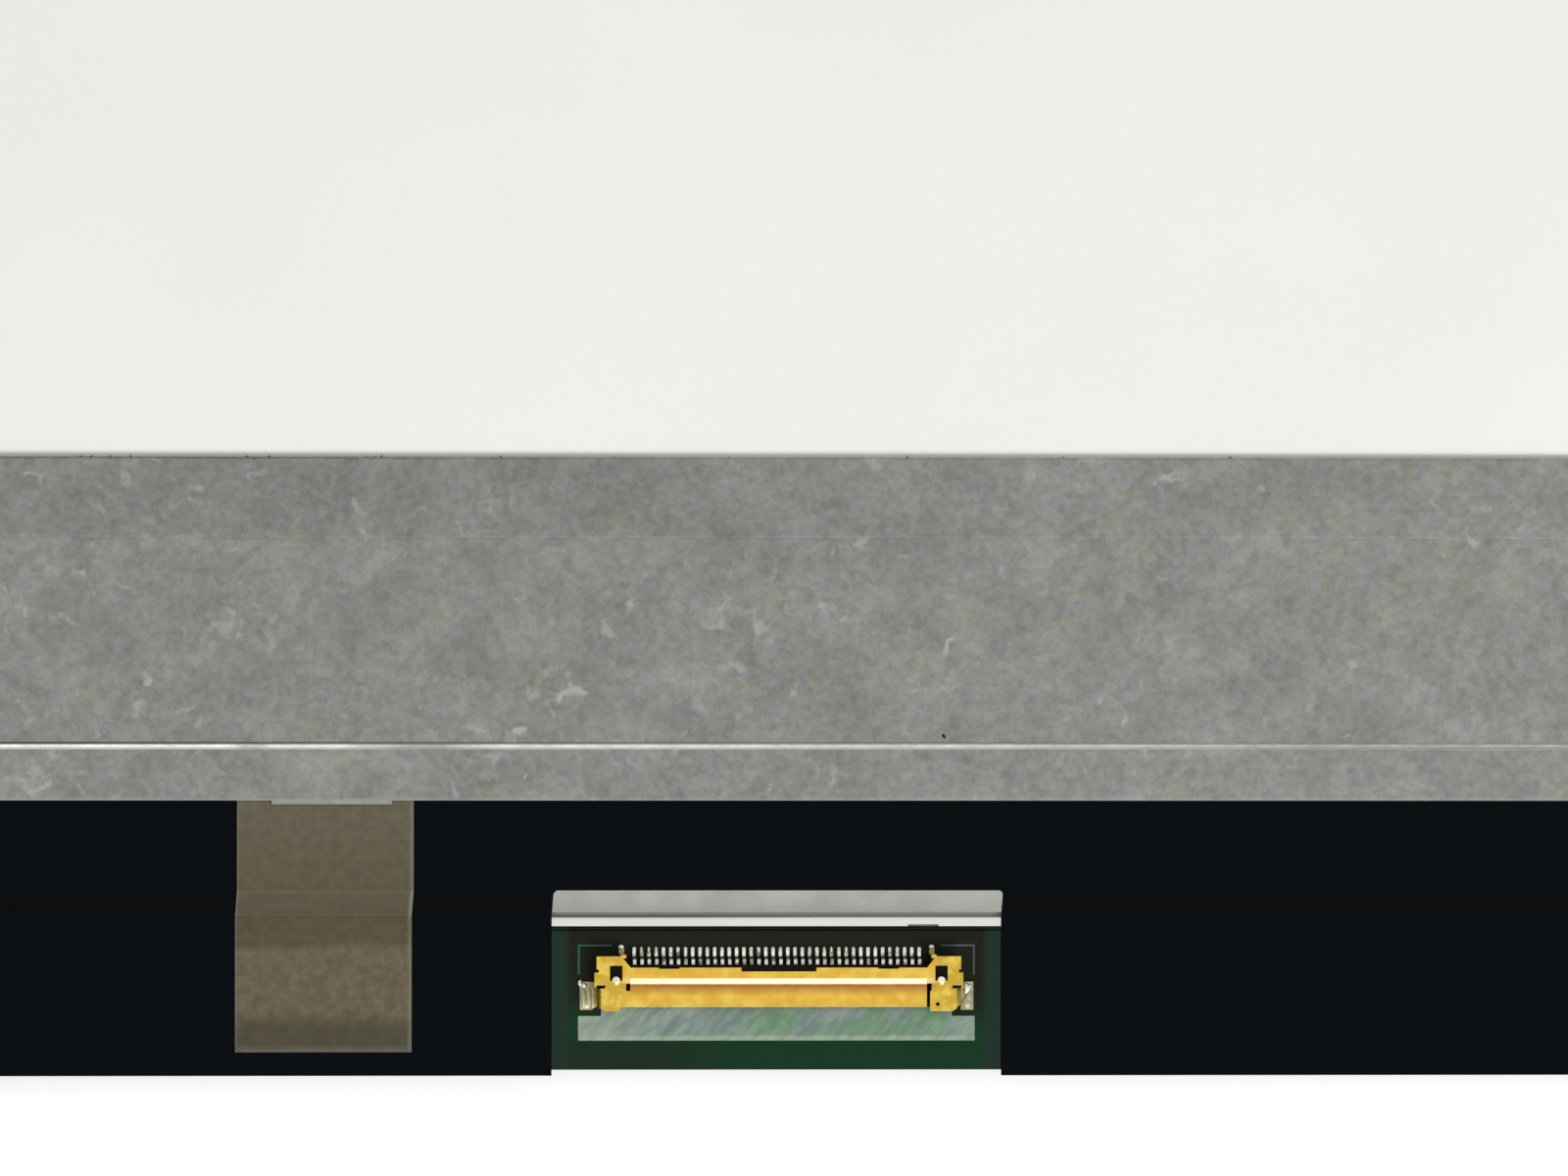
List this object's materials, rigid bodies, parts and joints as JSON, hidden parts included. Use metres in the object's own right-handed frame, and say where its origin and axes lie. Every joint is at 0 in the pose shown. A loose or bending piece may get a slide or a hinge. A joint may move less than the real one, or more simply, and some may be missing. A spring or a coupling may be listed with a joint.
{
  "type": "laptop screen panel",
  "caption": "Slim laptop display panel lying face down: glass cell, backlight in a white frame, steel cover strip, side brackets with screw ears and a taped driver board with its connector.",
  "frame": {"origin": "middle of the panel's front face, which lies down, at the middle of its length and height", "axes": "+X along the long side, to the right when the rear is seen with the board at the bottom; +Y from the board towards the top edge; +Z out of the rear"},
  "size_m": [0.3594, 0.2238, 0.0038],
  "materials": {
    "polariser": "dark anti-glare film",
    "cell_glass": "thin display glass",
    "black_tape": "matt black tape",
    "optical_film": "satin translucent film",
    "clear_acrylic": "clear acrylic plate",
    "white_reflector": "matt white foil",
    "led_package": "white package with yellow lens",
    "flex_circuit": "amber flexible circuit",
    "white_frame": "white moulding",
    "galvanised_steel": "galvanised sheet with fine spangle",
    "rail_aluminium": "mill finish",
    "foam_adhesive": "foam tape",
    "conductive_cloth": "metallised cloth tape",
    "solder_mask": "green solder mask",
    "chip_ceramic": "tan ceramic",
    "chip_package": "moulded black package",
    "contact_metal": "tin plated",
    "connector_plastic": "black moulding",
    "gold_plate": "gold plated",
    "tinned_copper": "tinned pad"
  },
  "bodies": {
    "root": {"front_polariser": "polariser", "colour_filter_glass": "cell_glass", "array_glass": "cell_glass", "rear_polariser": "polariser", "cell_tape": "black_tape", "upper_prism_film": "optical_film", "lower_prism_film": "optical_film", "diffuser_film": "optical_film", "light_guide": "clear_acrylic", "reflector_sheet": "white_reflector", "leds": "led_package", "led_strip": "flex_circuit", "moulded_frame": "white_frame", "right_bracket": "galvanised_steel", "left_bracket": "galvanised_steel", "top_bracket": "galvanised_steel", "led_rail": "rail_aluminium", "cover_adhesive": "foam_adhesive", "lower_cover": "galvanised_steel", "rear_tape": "black_tape", "ground_tape": "conductive_cloth", "front_tape": "black_tape", "driver_board": "solder_mask", "capacitors": "chip_ceramic", "driver_films": "flex_circuit", "driver_chips": "chip_package", "timing_chip": "chip_package", "power_coil": "chip_package", "power_chip": "chip_package", "connector_contacts": "contact_metal", "connector_housing": "connector_plastic", "connector_shell": "gold_plate", "ground_pad": "tinned_copper"}
  },
  "joints": []
}
